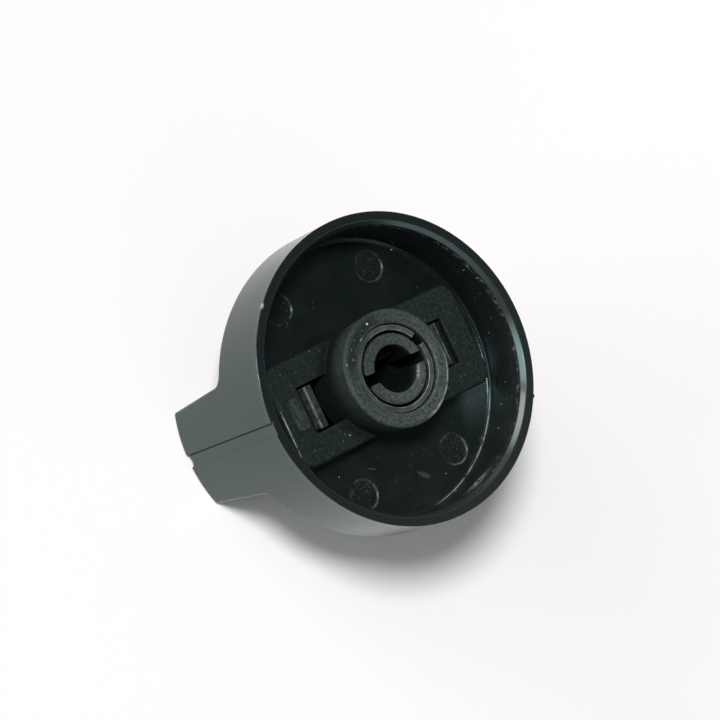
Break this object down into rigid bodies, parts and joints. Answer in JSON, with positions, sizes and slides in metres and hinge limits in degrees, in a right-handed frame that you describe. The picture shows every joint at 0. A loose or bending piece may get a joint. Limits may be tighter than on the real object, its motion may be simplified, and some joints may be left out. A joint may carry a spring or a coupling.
{
  "type": "oven control knob",
  "caption": "Black oven control knob: round skirt with a pointer grip bar, and a clipped-in shaft adapter with a split D socket held by a spring clip.",
  "frame": {"origin": "on the shaft axis, in the plane of the flat grip face that the knob stands on", "axes": "+Z along the shaft axis, out of the socket's mouth; the grip bar lies along Y, pointer end at -Y"},
  "size_m": [0.04, 0.04, 0.0236],
  "materials": {
    "shell_plastic": "glossy moulded black thermoset",
    "adapter_plastic": "matte moulded black, slightly grainy",
    "clip_steel": "blackened spring steel"
  },
  "bodies": {
    "root": {"knob_shell": "shell_plastic", "shaft_adapter": "adapter_plastic", "spring_clip": "clip_steel"}
  },
  "joints": []
}
